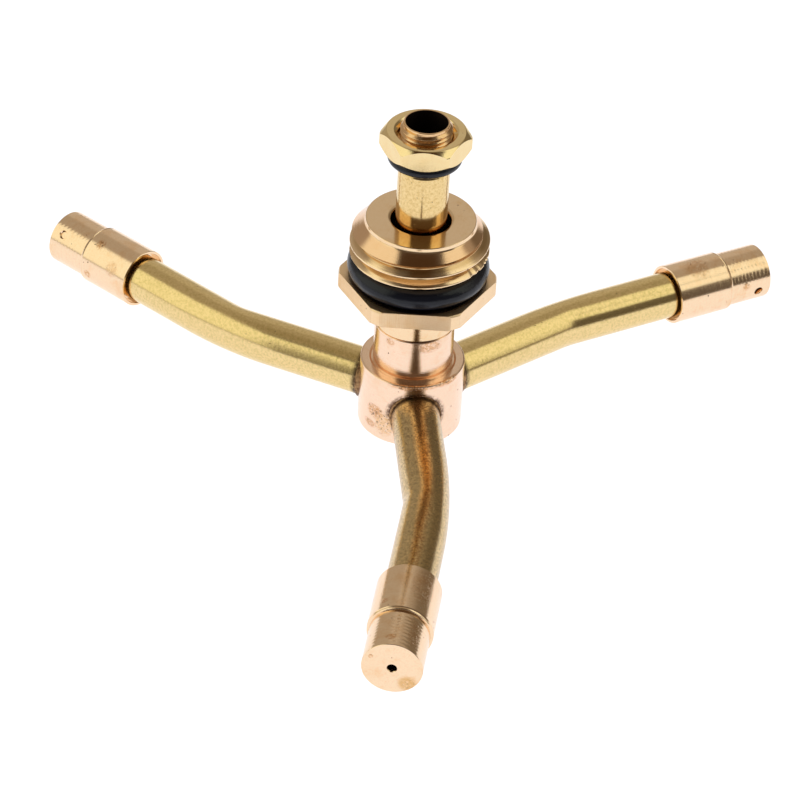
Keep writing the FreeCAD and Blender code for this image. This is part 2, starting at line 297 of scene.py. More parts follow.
def turnedBrass(name, finish, centre=(0, 0, 0), turn=(0, 0, 0)):
    material, wire = newMaterial(name)
    look = turning
    place = ownPlace(wire, centre, turn)
    lines = place.stretch(look["lineAcross"], look["lineAcross"], finish["lines"])
    lines = lines.noise(1.0, 4.0, 0.6)
    broad = place.stretch(*look["broad"]).noise(1.0, 3.0)
    patches = place.noise(look["patchScale"], 4.0, 0.6).step(*look["patchField"])
    grain = place.noise(look["grainScale"], 3.0)
    mottle = place.noise(look["mottleScale"], 4.0, 0.8).step(*look["mottleField"])
    pits = specks(place, look["pitScale"], look["pitSize"], look["pitShare"])
    pits = pits * place.noise(look["pitCloud"], 2.0).step(*look["pitField"])
    colour = (patches * 0.5 + mottle * 0.5).tint(finish["pale"], finish["warm"])
    colour = ((lines - 0.5) * look["lineTint"] + look["leastTint"]).tint(colour, finish["warm"])
    colour = (pits * look["pitTint"]).tint(colour, finish["dark"])
    roughness = finish["smooth"] + (finish["rough"] - finish["smooth"]) * lines
    roughness = roughness + pits * look["pitRough"]
    height = lines * finish["lineDepth"] + broad * look["broadDepth"]
    height = height + grain * look["grainDepth"] - pits * look["pitDepth"]
    colour, height = shadeHoleEdges(place, finish, colour, height)
    colour, roughness, height = addMarks(place, finish, colour, roughness, height)
    if "groove" in finish:
        colour, roughness, height = shadeBushing(place, finish, colour, roughness, height)
    if "chatter" in finish:
        chatter = finish["chatter"]
        along = place.split()[2]
        wave = place.stretch(*chatter["wave"]).noise(1.0, 1.0) * chatter["swing"]
        ripple = wire.math("SINE", along * chatter["pitch"] + wave)
        ripple = ripple * along.step(chatter["from"], chatter["full"])
        height = height + ripple * chatter["depth"]
    shine(wire, {"Metallic": 1.0}, colour, roughness, height, look["bump"])
    return material


capFinish = {
    **hubFinish, "pale": rgb(0.93, 0.71, 0.49), "warm": rgb(0.84, 0.53, 0.28), "holes": [],
    "smooth": 0.08, "rough": 0.20, "marks": [],
    "chatter": {"pitch": 9.0, "from": 9.9, "full": 10.3, "depth": 0.45,
                "wave": (0.9, 0.9, 0.16), "swing": 9.0},
}
capMarks = {
    "a": [
        {"azimuth": -48, "radius": 3.3, "height": 17.0, "wide": 1.7, "tall": 0.8, "amount": 1.0,
         "spread": (0.3, 0.5), "tone": rgb(0.70, 0.40, 0.14), "char": 0.3},
        {"azimuth": 150, "radius": 3.5, "height": 17.0, "wide": 0.45, "tall": 0.3, "amount": 1.0},
        {"azimuth": 98, "radius": 4.35, "height": 15.3, "wide": 0.9, "tall": 0.7, "amount": 0.8},
        {"azimuth": 124, "radius": 4.75, "height": 7.6, "wide": 0.8, "tall": 0.6, "amount": 0.7},
        {"azimuth": 60, "radius": 4.75, "height": 4.0, "wide": 2.2, "tall": 4.5, "amount": 0.45},
        {"azimuth": 55, "radius": 4.35, "height": 13.4, "wide": 1.2, "tall": 3.6, "amount": 0.45},
    ],
    "b": [
        {"azimuth": 62, "radius": 4.75, "height": 7.2, "wide": 1.2, "tall": 1.0, "amount": 0.9},
        {"azimuth": 30, "radius": 4.75, "height": 3.0, "wide": 1.5, "tall": 1.5, "amount": 0.5},
        {"azimuth": -8, "radius": 4.75, "height": 7.9, "wide": 0.9, "tall": 0.9, "amount": 0.9},
    ],
    "c": [
        {"azimuth": 100, "radius": 4.75, "height": 4.6, "wide": 2.6, "tall": 2.6, "amount": 0.5},
        {"azimuth": 170, "radius": 4.35, "height": 12.3, "wide": 0.8, "tall": 0.8, "amount": 0.8},
    ],
}
tubeFinish = {
    "pale": rgb(0.84, 0.63, 0.30), "green": rgb(0.66, 0.50, 0.20), "rust": rgb(0.50, 0.24, 0.07),
    "smooth": 0.11, "rough": 0.24, "grain": 2.4, "grainDepth": 0.9,
    # this near-black colour is painted shade at the tube's end by the hub
    "dirt": rgb(0.22, 0.13, 0.06), "charAndShade": rgb(0.05, 0.022, 0.015), "pitShare": 0.12,
}
# painted shade: the tube is painted near-black where it goes into the hub, up to this distance from
# the hub's axis
cleanFinish = {**tubeFinish, "shadedTo": 8.2}
# the front tube: darker brass with more pits, dirt, and a painted dark reflection stripe along its
# top
dirtyStripedFinish = {
    **cleanFinish, "pale": rgb(0.76, 0.55, 0.27), "green": rgb(0.52, 0.39, 0.19), "stripeShift": 0.2,
    "pitShare": 0.3, "grainDepth": 1.3,
}
spindleFinish = {
    **tubeFinish, "pale": rgb(0.83, 0.62, 0.30), "green": rgb(0.64, 0.43, 0.16), "grainDepth": 0.5,
    "bore": 3.1, "threadTone": rgb(0.78, 0.48, 0.27), "smooth": 0.06, "rough": 0.18,
    "pitShare": 0.3,
}
drawing = {
    "streaks": (1.6, 1.6, 0.05), "streakDepth": 0.4, "fine": (7.0, 7.0, 0.5), "fineDepth": 0.2,
    "grainField": (0.35, 0.75), "patchScale": 0.25, "pitScale": 1.3, "pitSize": 0.16,
    "pitTone": rgb(0.12, 0.07, 0.03), "pitTint": 0.8, "rustPatch": (0.58, 0.78),
    "rustStreak": (0.45, 0.65), "rustTint": 0.35, "bump": 0.000012,
}
endShadeLook = {
    "scale": 1.2, "field": (0.2, 0.5), "reach": 0.7, "core": -0.2, "tint": 0.9, "rough": 0.2,
}
stripeDirtLook = {
    "wander": (0.2, 0.2, 0.15), "swing": 1.6, "half": 0.75, "soft": 0.55, "above": (0.0, 2.0),
    "pepperScale": 3.4, "lineField": (0.35, 0.55), "lineTint": 0.75, "near": (40.0, 12.0),
    "dirtField": (0.46, 0.58), "dirtTint": 0.40, "nearTint": 0.35, "depth": 1.2, "rough": 0.15,
}
spindleLook = {
    "boreEdge": (0.12, 0.02), "boreShade": rgb(0.045, 0.028, 0.022), "boreRough": 0.4,
    "threadRise": (45.5, 47.0), "threadTint": 0.7, "lowRise": (40.5, 37.0), "lowTint": 0.5,
}


def shadeTubeEnd(place, finish, colour, roughness):
    # painted shade on the tube's end just outside the hub, where it goes into the hole
    look = endShadeLook
    along = place.split()[2]
    end = finish["shadedTo"]
    endShadeNoise = place.noise(look["scale"], 4.0, 0.7).step(*look["field"])
    charAndShade = along.step(end + look["reach"], end + look["core"]) * endShadeNoise
    colour = (charAndShade * look["tint"]).tint(colour, finish["charAndShade"])
    return colour, roughness + charAndShade * look["rough"]


def stripeAndDirt(place, finish, colour, roughness, height):
    # a speckled rust-brown stripe along the top, which is a painted dark reflection, and dirt that
    # is thickest near the hub
    look = stripeDirtLook
    side, up, along = place.split()
    wander = place.stretch(*look["wander"]).noise(1.0, 2.0) * look["swing"] - look["swing"] / 2
    # painted reflection: a dark stripe along the top of the tube
    line = (side - finish["stripeShift"] + wander).band(-look["half"], look["half"], look["soft"])
    line = line * up.step(*look["above"])
    pepper = place.noise(look["pepperScale"], 4.0, 0.8)
    paintedStripe = line * pepper.step(*look["lineField"]) * look["lineTint"]
    colour = paintedStripe.tint(colour, finish["rust"])
    near = along.step(*look["near"])
    dirt = pepper.step(*look["dirtField"]) * (look["dirtTint"] + near * look["nearTint"])
    colour = dirt.tint(colour, finish["dirt"])
    height = height + pepper * near * look["depth"]
    return colour, roughness + dirt * look["rough"], height


# the thread end tinted reddish, rust-brown lower down towards the bushing, and the inside of the
# bore painted near-black as painted shade
def shadeSpindle(place, finish, colour, roughness):
    look = spindleLook
    along = place.split()[2]
    edge, clear = look["boreEdge"]
    inside = around(place).step(finish["bore"] + edge, finish["bore"] + clear)
    thread = along.step(*look["threadRise"]) * look["threadTint"]
    colour = thread.tint(colour, finish["threadTone"])
    colour = (along.step(*look["lowRise"]) * look["lowTint"]).tint(colour, finish["rust"])
    # painted shade: the inside of the bore is painted near-black
    colour = inside.tint(colour, look["boreShade"])
    return colour, roughness + inside * look["boreRough"]


def drawnBrass(name, finish, attribute=None):
    material, wire = newMaterial(name)
    if attribute:
        place = wire.node("ShaderNodeAttribute", {"attribute_name": attribute}, out=1)
        place = place.stretch(1 / mm, 1 / mm, 1 / mm)
    else:
        place = ownPlace(wire)
    look = drawing
    streaks = place.stretch(*look["streaks"]).noise(1.0, 4.0, 0.6)
    fine = place.stretch(*look["fine"]).noise(1.0, 3.0)
    grain = place.noise(finish["grain"], 4.0, 0.7)
    patches = place.noise(look["patchScale"], 4.0, 0.6)
    pits = specks(place, look["pitScale"], look["pitSize"], finish["pitShare"])
    rust = patches.step(*look["rustPatch"]) * streaks.step(*look["rustStreak"])
    colour = grain.step(*look["grainField"]).tint(finish["pale"], finish["green"])
    colour = (rust * look["rustTint"]).tint(colour, finish["rust"])
    colour = (pits * look["pitTint"]).tint(colour, look["pitTone"])
    roughness = finish["smooth"] + (finish["rough"] - finish["smooth"]) * grain
    height = streaks * look["streakDepth"] + fine * look["fineDepth"]
    height = height + grain * finish["grainDepth"] - pits
    if "shadedTo" in finish:
        colour, roughness = shadeTubeEnd(place, finish, colour, roughness)
    if "stripeShift" in finish:
        colour, roughness, height = stripeAndDirt(place, finish, colour, roughness, height)
    if "bore" in finish:
        colour, roughness = shadeSpindle(place, finish, colour, roughness)
    shine(wire, {"Metallic": 1.0}, colour, roughness, height, look["bump"])
    return material


nutFinish = {
    "scratches": (3.0, 3.0, 0.3), "cloudScale": 0.6, "pitScale": 0.9, "pitSize": 0.08,
    "pitShare": 0.30, "pale": rgb(0.90, 0.72, 0.40), "warm": rgb(0.82, 0.60, 0.28),
    "pitTone": rgb(0.25, 0.14, 0.06), "pitTint": 0.7, "smooth": 0.05, "scratched": 0.11,
    "bump": 0.000010,
}


def polishedBrass(name):
    material, wire = newMaterial(name)
    look = nutFinish
    place = ownPlace(wire)
    scratches = place.stretch(*look["scratches"]).noise(1.0, 4.0, 0.7)
    cloud = place.noise(look["cloudScale"], 3.0)
    pits = specks(place, look["pitScale"], look["pitSize"], look["pitShare"])
    colour = cloud.tint(look["pale"], look["warm"])
    colour = (pits * look["pitTint"]).tint(colour, look["pitTone"])
    roughness = look["smooth"] + scratches * look["scratched"]
    height = scratches * 0.5 + cloud * 0.5 - pits
    shine(wire, {"Metallic": 1.0}, colour, roughness, height, look["bump"])
    return material


rubberFinish = {
    "grainScale": 6.0, "grainDepth": 0.9, "broadScale": 0.5, "broadDepth": 4.0,
    "dustScale": 2.2, "dustSize": 0.12, "dustShare": 0.16, "dustField": (0.5, 0.6),
    "black": rgb(0.004, 0.005, 0.010), "worn": rgb(0.010, 0.012, 0.022),
    "dust": rgb(0.20, 0.18, 0.18), "dustTint": 0.6, "smooth": 0.12, "grainRough": 0.14,
    "dustRough": 0.3, "specular": 0.3, "bump": 0.000020,
}


def rubber(name):
    material, wire = newMaterial(name)
    look = rubberFinish
    place = ownPlace(wire)
    grain = place.noise(look["grainScale"], 4.0, 0.6)
    broad = place.noise(look["broadScale"], 2.0)
    dust = specks(place, look["dustScale"], look["dustSize"], look["dustShare"])
    dust = dust * place.noise(look["broadScale"], 2.0).step(*look["dustField"])
    colour = grain.tint(look["black"], look["worn"])
    colour = (dust * look["dustTint"]).tint(colour, look["dust"])
    roughness = look["smooth"] + grain * look["grainRough"] + dust * look["dustRough"]
    height = grain * look["grainDepth"] + broad * look["broadDepth"] + dust
    fixed = {"Specular IOR Level": look["specular"]}
    shine(wire, fixed, colour, roughness, height, look["bump"])
    return material


brazeFinish = {
    "scale": 1.4, "field": (0.35, 0.65), "dark": rgb(0.10, 0.045, 0.02),
    "bright": rgb(0.45, 0.26, 0.12), "smooth": 0.25, "rough": 0.3, "metal": 0.85, "bump": 0.0001,
}


def braze(name):
    material, wire = newMaterial(name)
    look = brazeFinish
    lumps = ownPlace(wire).noise(look["scale"], 4.0, 0.6)
    colour = lumps.step(*look["field"]).tint(look["dark"], look["bright"])
    roughness = look["smooth"] + lumps * look["rough"]
    shine(wire, {"Metallic": look["metal"]}, colour, roughness, lumps, look["bump"])
    return material


def dress(piece, material):
    piece.data.materials.clear()
    piece.data.materials.append(material)


# shaping helpers
fineSteps = 240
drillSteps = 96
mergeDistance = 0.002 * mm
# a rounded corner takes up at most this share of each edge beside it
cornerShare = 0.45


def startPiece(name):
    # nothing else stays selected, and the new primitive becomes the piece
    if bpy.context.object and bpy.context.object.mode == "EDIT":
        bpy.ops.object.mode_set(mode="OBJECT")
    bpy.ops.object.select_all(action="DESELECT")
    print("modelling", name)


def pickOnly(piece):
    bpy.ops.object.select_all(action="DESELECT")
    piece.select_set(True)
    bpy.context.view_layer.objects.active = piece


def settle(piece, name):
    # the place of the piece goes into its mesh, so that its object stays at the origin
    pickOnly(piece)
    bpy.ops.object.transform_apply(location=True, rotation=True, scale=True)
    piece.name = name
    piece.data.name = name
    return piece


def editAll():
    bpy.ops.object.mode_set(mode="EDIT")
    bpy.ops.mesh.select_all(action="SELECT")


def tidyMesh(piece, distance=mergeDistance):
    pickOnly(piece)
    editAll()
    bpy.ops.mesh.remove_doubles(threshold=distance)
    bpy.ops.mesh.normals_make_consistent(inside=False)
    bpy.ops.object.mode_set(mode="OBJECT")


def applyModifier(piece, kind, settings):
    pickOnly(piece)
    modifier = piece.modifiers.new(kind.lower(), kind)
    for key, value in settings.items():
        setattr(modifier, key, value)
    bpy.ops.object.modifier_apply(modifier=modifier.name)


def rounded(profile, radius, steps=3):
    # the same outline with each corner that has a radius replaced by a short arc
    points = []
    for i, (corner, size) in enumerate(zip(profile, radius)):
        if not size:
            points.append(corner)
            continue
        here = Vector(corner)
        before = Vector(profile[i - 1]) - here
        after = Vector(profile[(i + 1) % len(profile)]) - here
        reach = min(size, before.length * cornerShare, after.length * cornerShare)
        start, end = here + before.normalized() * reach, here + after.normalized() * reach
        for k in range(steps + 1):
            t = k / steps
            point = start * (1 - t) ** 2 + here * 2 * t * (1 - t) + end * t ** 2
            points.append((point.x, point.y))
    return points


def turnedShell(name, profile, closed=True, steps=fineSteps):
    # a ring of points is drawn upwards or outwards from one outline point to the next
    startPiece(name)
    radius, height = profile[0]
    bpy.ops.mesh.primitive_circle_add(
        vertices=steps, radius=radius * mm, location=(0, 0, height * mm), fill_type="NOTHING"
    )
    piece = bpy.context.object
    editAll()
    for nextRadius, nextHeight in profile[1:]:
        rise = (nextHeight - height) * mm
        bpy.ops.mesh.extrude_edges_move(TRANSFORM_OT_translate={"value": (0, 0, rise)})
        grow = nextRadius / radius
        bpy.ops.transform.resize(value=(grow, grow, 1), center_override=(0, 0, nextHeight * mm))
        radius, height = nextRadius, nextHeight
    bpy.ops.object.mode_set(mode="OBJECT")
    settle(piece, name)
    if closed:
        joinEnds(piece)
    return piece


def joinEnds(piece):
    # the open rings at both ends of the outline are bridged
    pickOnly(piece)
    bpy.ops.object.mode_set(mode="EDIT")
    bpy.ops.mesh.select_all(action="DESELECT")
    bpy.ops.mesh.select_mode(type="EDGE")
    bpy.ops.mesh.select_non_manifold(
        extend=False, use_wire=False, use_boundary=True, use_multi_face=False,
        use_non_contiguous=False, use_verts=False,
    )
    bpy.ops.mesh.bridge_edge_loops()
    bpy.ops.mesh.select_mode(type="VERT")
    bpy.ops.object.mode_set(mode="OBJECT")


# shares of the pitch, and of half the crest's width
ridgeShape = {"foot": 0.06, "footRound": 0.10, "crestRound": 1.6}


def threadShell(name, thread, steps=fineSteps):
    # one ridge is screwed round the axis, then held inside the thread's low and high ends
    startPiece(name)
    root = thread["radius"] - thread["depth"]
    pitch = thread["pitch"]
    crest = thread["crest"] / 2
    foot = ridgeShape["foot"]
    footRound, crestRound = pitch * ridgeShape["footRound"], crest * ridgeShape["crestRound"]
    outline = rounded(
        [(root, 0.0), (root, pitch * foot), (thread["radius"], pitch / 2 - crest),
         (thread["radius"], pitch / 2 + crest), (root, pitch * (1 - foot)), (root, pitch)],
        [0, footRound, crestRound, crestRound, footRound, 0],
    )
    turns = math.ceil((thread["high"] - thread["low"]) / pitch) + 2
    start = thread["phase"] - pitch * (math.floor((thread["phase"] - thread["low"]) / pitch) + 2)
    bpy.ops.mesh.primitive_circle_add(vertices=3, radius=mm, location=(0, 0, 0))
    piece = bpy.context.object
    editAll()
    bpy.ops.mesh.delete(type="VERT")
    bpy.ops.object.mode_set(mode="OBJECT")
    mesh = piece.data
    mesh.vertices.add(len(outline))
    for vertex, (radius, height) in zip(mesh.vertices, outline):
        vertex.co = (radius * mm, 0, (start + height) * mm)
    mesh.edges.add(len(outline) - 1)
    for i, edge in enumerate(mesh.edges):
        edge.vertices = (i, i + 1)
    settle(piece, name)
    applyModifier(piece, "SCREW", {
        "axis": "Z", "angle": 2 * math.pi, "screw_offset": pitch * mm, "iterations": turns,
        "steps": steps, "render_steps": steps, "use_merge_vertices": False,
        "use_smooth_shade": True,
    })
    low, high = thread["low"] * mm, thread["high"] * mm
    for vertex in piece.data.vertices:
        x, y, z = vertex.co
        radius = math.hypot(x, y)
        z = min(max(z, low), high)
        limit = root * mm + min((z - low) * thread["lowSlope"], (high - z) * thread["highSlope"])
        scale = min(radius, limit) / radius
        vertex.co = (x * scale, y * scale, z)
    tidyMesh(piece)
    return piece


def joined(name, pieces):
    bpy.ops.object.select_all(action="DESELECT")
    for piece in pieces:
        piece.select_set(True)
    bpy.context.view_layer.objects.active = pieces[0]
    bpy.ops.object.join()
    piece = bpy.context.object
    piece.name = name
    piece.data.name = name
    tidyMesh(piece)
    return piece


def smoothed(piece, angle=32):
    pickOnly(piece)
    bpy.ops.object.shade_smooth_by_angle(angle=math.radians(angle), keep_sharp_edges=False)
    return piece


def crisp(piece, angle=20):
    # flat faces keep their own normals beside the small rounded edges
    smoothed(piece, angle)
    settings = {"mode": "FACE_AREA", "weight": 100, "keep_sharp": True}
    applyModifier(piece, "WEIGHTED_NORMAL", settings)
    return piece


def hexPrism(name, acrossFlats, low, high, edge):
    startPiece(name)
    bpy.ops.mesh.primitive_cylinder_add(
        vertices=6, radius=acrossFlats / math.sqrt(3) * mm, depth=(high - low) * mm,
        location=(0, 0, (low + high) / 2 * mm), rotation=(0, 0, math.radians(30)),
    )
    piece = bpy.context.object
    editAll()
    bpy.ops.mesh.bevel(offset=edge * mm, segments=3, affect="EDGES")
    bpy.ops.object.mode_set(mode="OBJECT")
    return settle(piece, name)


def cutToBlank(prism, blank, operation="INTERSECT"):
    applyModifier(prism, "BOOLEAN", {"operation": operation, "object": blank, "solver": "EXACT"})
    bpy.data.objects.remove(blank, do_unlink=True)
    tidyMesh(prism, mergeDistance / 4)
    return prism


# bushing: boss, hexagon, relief, pipe thread and collar
bushingSizes = {
    "low": 18.20, "high": 36.678, "boss": 6.1, "bossEdge": 0.3,
    "flangeLow": 23.9, "flangeHigh": 26.55, "acrossFlats": 21.3, "corner": 11.87,
    "flangeEdge": 0.07, "cornerCut": 0.2, "cornerRound": 0.1, "overlap": 0.4, "spare": 1.0,
    "relief": 7.1, "collar": 8.25, "collarEdge": 0.14,
    "bearing": 3.93, "bearingTop": 24.4, "bearingTaper": 0.5, "bore": 4.45, "boreEdge": 0.6,
    "footFillet": 0.5, "threadFoot": 0.2,
}
pipeThread = {
    "radius": 10.4775, "depth": 1.162, "pitch": 1.814, "crest": 0.26, "phase": 30.66,
    "low": 30.2, "high": 34.978, "lowSlope": 1.8, "highSlope": 1.0,
}
ridgeChips = {
    "from": -42, "to": -8, "below": 32.0, "above": 10.2, "depth": 0.25, "seed": 4,
    "every": 2, "nicks": [0, 0, 0.4, 1.0], "least": 0.5,
}


def chipRidge(piece):
    # the lowest ridge is nicked along one side
    chips = ridgeChips
    random.seed(chips["seed"])
    depths = {}
    for vertex in piece.data.vertices:
        x, y, z = vertex.co / mm
        azimuth = math.degrees(math.atan2(y, x))
        radius = math.hypot(x, y)
        inside = chips["from"] < azimuth < chips["to"] and z < chips["below"]
        if inside and radius > chips["above"]:
            nick = random.choice(chips["nicks"])
            nick = depths.setdefault(round(azimuth / chips["every"]), nick)
            keep = 1 - nick * chips["depth"] * random.uniform(chips["least"], 1.0) / radius
            vertex.co = (x * keep * mm, y * keep * mm, z * mm)


def makeBushing():
    size, thread = bushingSizes, pipeThread
    root = thread["radius"] - thread["depth"]
    outline = [
        (root, thread["high"]), (size["collar"], thread["high"] + root - size["collar"]),
        (size["collar"], size["high"]),
        (size["bore"], size["high"]), (size["bore"], size["bearingTop"] + size["bearingTaper"]),
        (size["bearing"], size["bearingTop"]), (size["bearing"], size["low"]),
        (size["boss"], size["low"]), (size["boss"], size["flangeHigh"]),
        (size["relief"], size["flangeHigh"]), (size["relief"], thread["low"]),
        (root, thread["low"]),
    ]
    edges = [0, size["footFillet"], size["collarEdge"], size["boreEdge"], 0, 0, 0,
             size["bossEdge"], 0, 0, size["threadFoot"], 0]
    body = turnedShell("bushingBody", rounded(outline, edges, 4), closed=False)
    ridge = threadShell("bushingThread", thread)
    chipRidge(ridge)
    piece = joined("bushingBrass", [body, ridge])
    prism = hexPrism(
        "bushingFlange", size["acrossFlats"], size["flangeLow"], size["flangeHigh"],
        size["flangeEdge"],
    )
    inner, corner = size["boss"] - size["overlap"], size["corner"]
    low, high, cut = size["flangeLow"], size["flangeHigh"], size["cornerCut"]
    outline = [
        (inner, low - size["spare"]), (corner - cut, low - size["spare"]), (corner - cut, low),
        (corner, low + cut), (corner, high - cut), (corner - cut, high),
        (corner - cut, high + size["spare"]), (inner, high + size["spare"]),
    ]
    edges = [0, 0, 0, size["cornerRound"], size["cornerRound"], 0, 0, 0]
    blank = turnedShell("flangeBlank", rounded(outline, edges, 2))
    tidyMesh(blank)
    flange = cutToBlank(prism, blank)
    piece = joined("bushingBrass", [piece, flange])
    return crisp(piece, 32)


# spindle: hollow tube with a threaded end
spindleSizes = {
    "low": 11.5, "high": 53.4, "radius": 3.85, "bore": 3.1, "endEdge": 0.16, "boreEdge": 0.08,
    "runOut": 0.6, "runOutEnd": 0.1, "runOutRound": 0.1, "steps": 160,
}
spindleThread = {
    "radius": 3.85, "depth": 0.42, "pitch": 0.75, "crest": 0.12, "phase": 52.35,
    "low": 46.3, "high": 53.1, "lowSlope": 0.7, "highSlope": 1.0,
}


def makeSpindle():
    size, thread = spindleSizes, spindleThread
    root = thread["radius"] - thread["depth"]
    outline = [
        (root, thread["high"]), (root, size["high"]), (size["bore"], size["high"]),
        (size["bore"], size["low"]), (size["radius"], size["low"]),
        (size["radius"], thread["low"] - size["runOut"]),
        (root, thread["low"] - size["runOutEnd"]), (root, thread["low"]),
    ]
    edges = [0, size["endEdge"], size["boreEdge"], 0, 0, size["runOutRound"],
             size["runOutRound"], 0]
    body = turnedShell("spindleBody", rounded(outline, edges), closed=False, steps=size["steps"])
    ridge = threadShell("spindleRidge", thread, steps=size["steps"])
    return smoothed(joined("spindleBrass", [body, ridge]))


# spindle nut
nutSizes = {
    "low": 48.45, "high": 51.95, "acrossFlats": 12.0, "face": 5.85, "corner": 6.80,
    "chamfer": 45, "edge": 0.09, "bore": 3.86, "sink": 4.72, "sinkDepth": 0.9,
    "round": 0.1, "faceRound": 0.12, "steps": 160,
}


def makeNut():
    size = nutSizes
    low, high = size["low"], size["high"]
    prism = hexPrism("nutPrism", size["acrossFlats"], low, high, size["edge"])
    fall = (size["corner"] - size["face"]) * math.tan(math.radians(size["chamfer"]))
    outline = [
        (size["bore"], low), (size["face"], low), (size["corner"], low + fall),
        (size["corner"], high - fall), (size["face"], high), (size["sink"], high),
        (size["bore"], high - size["sinkDepth"]),
    ]
    small = size["round"]
    edges = [0, small, small, small, size["faceRound"], small, 0]
    blank = turnedShell("nutBlank", rounded(outline, edges), steps=size["steps"])
    tidyMesh(blank)
    nut = cutToBlank(prism, blank)
    nut.name = "nutBrass"
    return crisp(nut)


# placing of the arms, read from the frame
def armPlace(letter):
    joint = joints["cap_" + letter + "_turn"]
    outwards = Vector(joint["axis"]).normalized()
    tip = Vector(joint["pos_m"])
    side = Vector((0, 0, 1)).cross(outwards)
    turn = Matrix((side, Vector((0, 0, 1)), outwards)).transposed()
    return tip, outwards, turn


def drilled(piece, radius, start, direction, length, flare=0):
    # a round hole from start along direction, wider by flare at its far end
    startPiece("drill")
    end = start + direction * length
    turn = direction.to_track_quat("Z", "Y").to_euler()
    bpy.ops.mesh.primitive_cone_add(
        vertices=drillSteps, radius1=radius * mm, radius2=(radius + flare) * mm, depth=length * mm,
        location=(start + end) / 2 * mm, rotation=turn,
    )
    drill = settle(bpy.context.object, "drill")
    return cutToBlank(piece, drill, "DIFFERENCE")


# hub: round body, neck, blind chamber and three arm holes
hubSizes = {
    "radius": 8.0, "height": 11.3, "edge": 0.34, "neck": 6.1, "neckTop": 18.15, "neckEdge": 0.26,
    "grooveWide": 0.5, "grooveDeep": 0.25, "seat": 3.85, "seatLow": 11.5, "chamber": 3.4,
    "chamberLow": 2.2, "armHeight": 5.55, "armHole": 4.02, "armStart": 4.3, "armLength": 5.0,
    "armBore": 3.0, "boreStart": 2.0, "boreLength": 4.0, "centre": 0.4, "seatEdge": 0.1,
    "grooveEdge": 0.06, "ledgeEdge": 0.08,
}


def makeHub():
    size = hubSizes
    wide, deep = size["neck"] + size["grooveWide"], size["height"] - size["grooveDeep"]
    outline = [
        (size["centre"], size["chamberLow"]), (size["chamber"], size["chamberLow"]),
        (size["chamber"], size["seatLow"]), (size["seat"], size["seatLow"]),
        (size["seat"], size["neckTop"]), (size["neck"], size["neckTop"]), (size["neck"], deep),
        (wide - size["grooveDeep"], deep), (wide, size["height"]),
        (size["radius"], size["height"]), (size["radius"], 0), (size["centre"], 0),
    ]
    edges = [0, size["seatEdge"], 0, 0, size["seatEdge"], size["neckEdge"], 0,
             size["grooveEdge"], size["ledgeEdge"], size["edge"], size["edge"], 0]
    hub = turnedShell("hubBody", rounded(outline, edges, 4), closed=False)
    pickOnly(hub)
    editAll()
    bpy.ops.mesh.fill_holes(sides=0)
    bpy.ops.object.mode_set(mode="OBJECT")
    tidyMesh(hub)
    for letter in "abc":
        _, along, _ = armBend(letter)
        centre = Vector((0, 0, size["armHeight"]))
        start = centre + along * size["boreStart"]
        hub = drilled(hub, size["armBore"], start, along, size["boreLength"])
        start = centre + along * size["armStart"]
        hub = drilled(hub, size["armHole"], start, along, size["armLength"])
    hub.name = "hubBrass"
    return crisp(hub, 30)


# nozzle caps
capSizes = {
    "mouth": 4.3, "mouthDepth": 1.1, "mouthEdge": 0.08, "body": 4.75, "bore": 3.75,
    "shoulder": 9.7, "shoulderEdge": 0.14, "groove": 4.64, "grooveFrom": 0.52,
    "grooveDeepFrom": 0.42, "grooveDeepTo": 0.34, "grooveTo": 0.26, "lipIn": 0.02, "lipTop": 0.1,
    "tip": 4.35, "tipFoot": 0.05, "length": 17.0, "wallEnd": 15.8, "chamber": 3.0, "edge": 0.16,
    "jet": 0.65, "jetMouth": 0.74, "jetFlare": 0.13, "sideJet": 14.8, "sideStart": 2.0,
    "sideLength": 4.0, "sideMouth": 4.05, "sideMouthIn": 0.02, "sideMouthLength": 0.7,
    "sideFlare": 0.3, "shallow": "b", "silt": 0.52, "siltAt": 4.0, "siltLength": 0.8,
    "siltFlare": 0.5, "steps": 128,
}
jetTurns = {"a": -75, "b": 42, "c": 190}


